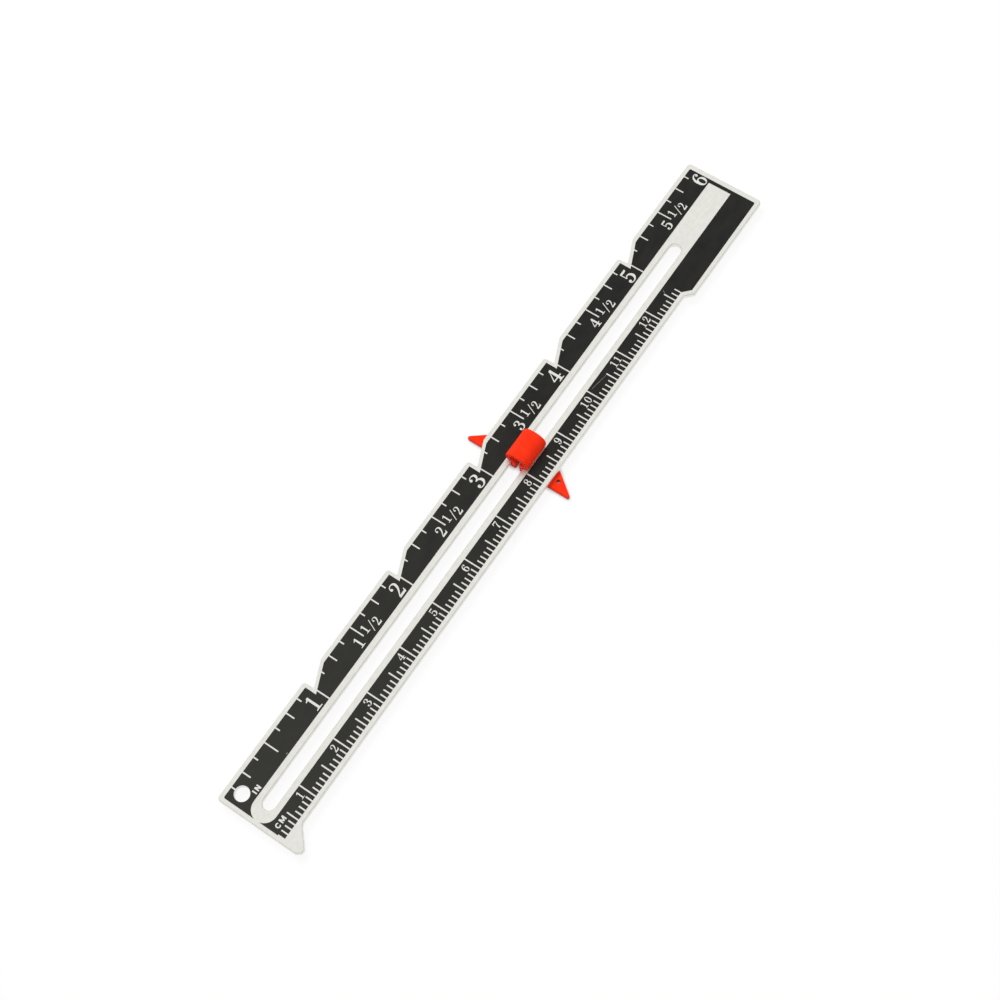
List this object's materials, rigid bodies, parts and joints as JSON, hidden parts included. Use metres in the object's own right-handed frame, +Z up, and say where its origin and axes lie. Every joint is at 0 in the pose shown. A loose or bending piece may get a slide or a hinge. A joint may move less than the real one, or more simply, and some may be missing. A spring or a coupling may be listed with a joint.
{
  "type": "sewing gauge",
  "caption": "Flat sewing gauge: slotted aluminium blade with a stepped edge, printed inch and centimetre scales, a hooked point turner and a sliding plastic marker.",
  "frame": {"origin": "on the surface the gauge rests on, at the underside of the slider's arms, below the middle of the blade's length and the middle line of its slot", "axes": "+X along the blade from the zero end to the far end, +Y across it towards the stepped inch edge, +Z up out of the printed face"},
  "size_m": [0.1524, 0.0226, 0.0055],
  "materials": {
    "bare_aluminium": "satin",
    "black_print": "baked ink, satin",
    "red_plastic": "semi-gloss"
  },
  "bodies": {
    "ruler": {"blade": "bare_aluminium", "scale_print": "black_print"},
    "marker": {"slider": "red_plastic"}
  },
  "joints": [
    {"name": "marker_slide", "type": "slide", "parent": "ruler", "child": "marker", "axis": [1, 0, 0], "range_m": [-0.0761, 0.048]}
  ]
}
